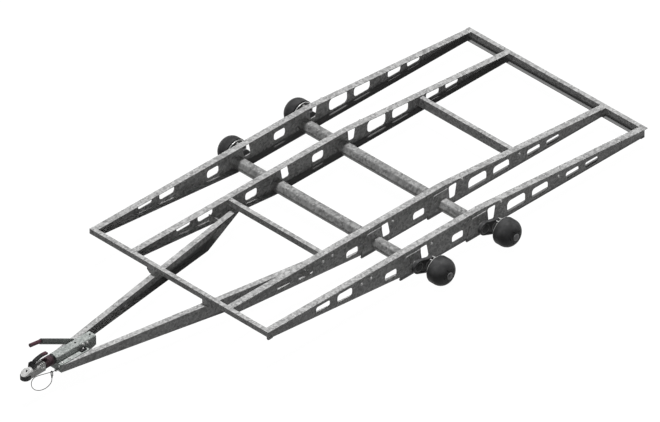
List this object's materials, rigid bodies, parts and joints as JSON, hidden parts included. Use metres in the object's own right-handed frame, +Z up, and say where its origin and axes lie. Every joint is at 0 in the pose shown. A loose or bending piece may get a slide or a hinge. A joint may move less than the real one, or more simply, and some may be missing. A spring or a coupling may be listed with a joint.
{
  "type": "car hauler trailer chassis",
  "caption": "Bare tandem-axle car hauler chassis with beams, V drawbar, overrun coupling, handbrake lever and turning brake drums; no wheels or deck.",
  "frame": {"origin": "on the floor under the middle of the whole part, between the rear edge and the coupling's nose", "axes": "+X towards the coupling, +Y to the left side, +Z up"},
  "size_m": [6.05, 2.582, 0.4829],
  "materials": {
    "galvanised": "hot-dip galvanised, dull spangle",
    "housing_steel": "satin zinc plate",
    "zinc_plate": "bright zinc plate",
    "black_casting": "black paint on casting",
    "drum_casting": "dark paint on casting",
    "bellows_rubber": "matt",
    "dark_plastic": "matt",
    "cable_grey": "satin sheath"
  },
  "bodies": {
    "chassis": {"beam_outer_left": "galvanised", "beam_outer_right": "galvanised", "beam_inner_left": "galvanised", "beam_inner_right": "galvanised", "cross_member_front": "galvanised", "cross_member_mid_front": "galvanised", "cross_member_mid_rear": "galvanised", "cross_member_rear": "galvanised", "axle_brackets_front": "galvanised", "axle_tube_front": "galvanised", "axle_brackets_rear": "galvanised", "axle_tube_rear": "galvanised", "swing_arm_front_left": "black_casting", "backplate_front_left": "zinc_plate", "swing_arm_front_right": "black_casting", "backplate_front_right": "zinc_plate", "swing_arm_rear_left": "black_casting", "backplate_rear_left": "zinc_plate", "swing_arm_rear_right": "black_casting", "backplate_rear_right": "zinc_plate", "drawbar_left": "galvanised", "drawbar_right": "galvanised", "drawbar_hangers": "galvanised", "drawbar_rear_brackets": "galvanised", "coupling_base_plate": "galvanised", "overrun_housing": "housing_steel", "draw_tube": "zinc_plate", "draw_bellows": "bellows_rubber", "coupling_head": "zinc_plate", "nose_bumper": "dark_plastic", "handbrake_pin": "zinc_plate", "cable_clip": "zinc_plate", "cable_snap_hook": "zinc_plate", "breakaway_cable": "cable_grey"},
    "hub_front_left": {"brake_drum_front_left": "drum_casting", "hub_cap_front_left": "drum_casting"},
    "hub_front_right": {"brake_drum_front_right": "drum_casting", "hub_cap_front_right": "drum_casting"},
    "hub_rear_left": {"brake_drum_rear_left": "drum_casting", "hub_cap_rear_left": "drum_casting"},
    "hub_rear_right": {"brake_drum_rear_right": "drum_casting", "hub_cap_rear_right": "drum_casting"},
    "handbrake": {"handbrake_lever": "housing_steel", "handbrake_grip": "dark_plastic"},
    "coupling_lever": {"coupling_handle": "dark_plastic"}
  },
  "joints": [
    {"name": "hub_front_left_spin", "type": "hinge", "parent": "chassis", "child": "hub_front_left", "pos_m": [-0.485, 1.281, 0.12], "axis": [0, 1, 0], "continuous": true},
    {"name": "hub_front_right_spin", "type": "hinge", "parent": "chassis", "child": "hub_front_right", "pos_m": [-0.485, -1.281, 0.12], "axis": [0, 1, 0], "continuous": true},
    {"name": "hub_rear_left_spin", "type": "hinge", "parent": "chassis", "child": "hub_rear_left", "pos_m": [-1.237, 1.281, 0.12], "axis": [0, 1, 0], "continuous": true},
    {"name": "hub_rear_right_spin", "type": "hinge", "parent": "chassis", "child": "hub_rear_right", "pos_m": [-1.237, -1.281, 0.12], "axis": [0, 1, 0], "continuous": true},
    {"name": "handbrake_pull", "type": "hinge", "parent": "chassis", "child": "handbrake", "pos_m": [2.409, -0.053, 0.27], "axis": [0, -1, 0], "range_deg": [-10, 50]},
    {"name": "coupling_release", "type": "hinge", "parent": "chassis", "child": "coupling_lever", "pos_m": [2.903, 0, 0.3195], "axis": [0, 1, 0], "range_deg": [0, 40], "stiffness_Nm_per_rad": 1, "springref_deg": -17.19}
  ]
}
